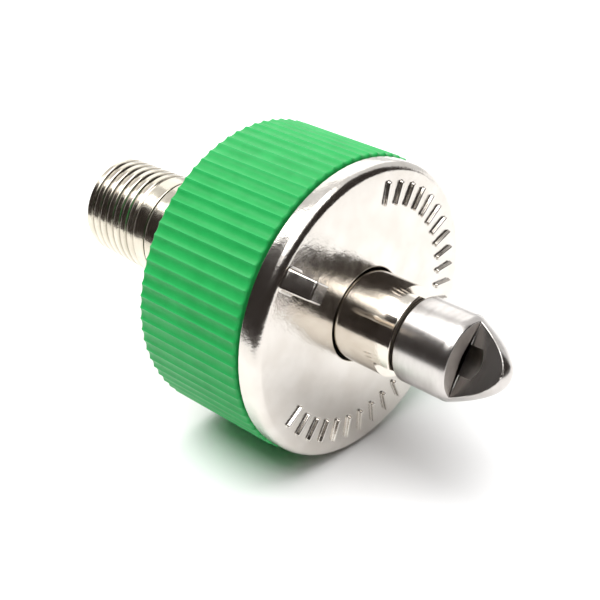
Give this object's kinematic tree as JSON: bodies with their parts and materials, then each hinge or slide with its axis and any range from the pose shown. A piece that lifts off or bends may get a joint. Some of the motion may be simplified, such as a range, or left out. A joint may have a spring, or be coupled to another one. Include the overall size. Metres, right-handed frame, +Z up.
{
  "type": "medical gas quick-connect adapter",
  "caption": "Medical oxygen quick-connect adapter: threaded tail, ribbed green grip ring, plated index plate with a lug, and a probe with a sliding sleeve and ported nose.",
  "frame": {"origin": "under the middle of the adapter's box, on the surface it lies on", "axes": "+X along the probe towards its nose, -X along the threaded tail, +Z up with the grip ring resting on its ribs"},
  "size_m": [0.0654, 0.038, 0.038],
  "materials": {
    "nickel_plate": "bright nickel plate",
    "tail_nickel": "nickel-plated brass",
    "satin_steel": "satin turned stainless steel",
    "spring_steel": "bright spring steel",
    "green_plastic": "moulded satin green",
    "core_aluminium": "machined",
    "bronze": "sintered bronze",
    "black_rubber": "moulded rubber"
  },
  "bodies": {
    "stem": {"tail_nipple": "tail_nickel", "hub_body": "tail_nickel", "inlet_filter": "bronze", "filter_clip": "spring_steel", "stem_gasket": "black_rubber", "stem_tube": "satin_steel", "nose_tip": "satin_steel", "nose_seal": "black_rubber", "rear_washer": "bronze", "thrust_washer": "bronze", "retaining_clip": "spring_steel", "sleeve_spring": "spring_steel"},
    "grip": {"grip_ring": "green_plastic", "face_plate": "nickel_plate", "housing_core": "core_aluminium", "rear_cover": "nickel_plate", "cover_screw_1": "spring_steel", "cover_screw_2": "spring_steel", "cover_screw_3": "spring_steel", "ring_dowel_1": "spring_steel", "ring_dowel_2": "spring_steel", "ring_dowel_3": "spring_steel", "rear_bush": "bronze", "front_bush": "bronze", "sleeve_wiper": "black_rubber"},
    "sleeve": {"lock_sleeve": "nickel_plate", "stop_collar": "nickel_plate", "sleeve_key": "spring_steel"}
  },
  "joints": [
    {"name": "grip_turn", "type": "hinge", "parent": "stem", "child": "grip", "pos_m": [0.00095, 0, 0.01898], "axis": [1, 0, 0], "continuous": true},
    {"name": "sleeve_slide", "type": "slide", "parent": "stem", "child": "sleeve", "axis": [-1, 0, 0], "range_m": [0, 0.0035], "stiffness_N_per_m": 900, "springref_m": -0.002, "deforming": ["sleeve_spring"]}
  ]
}
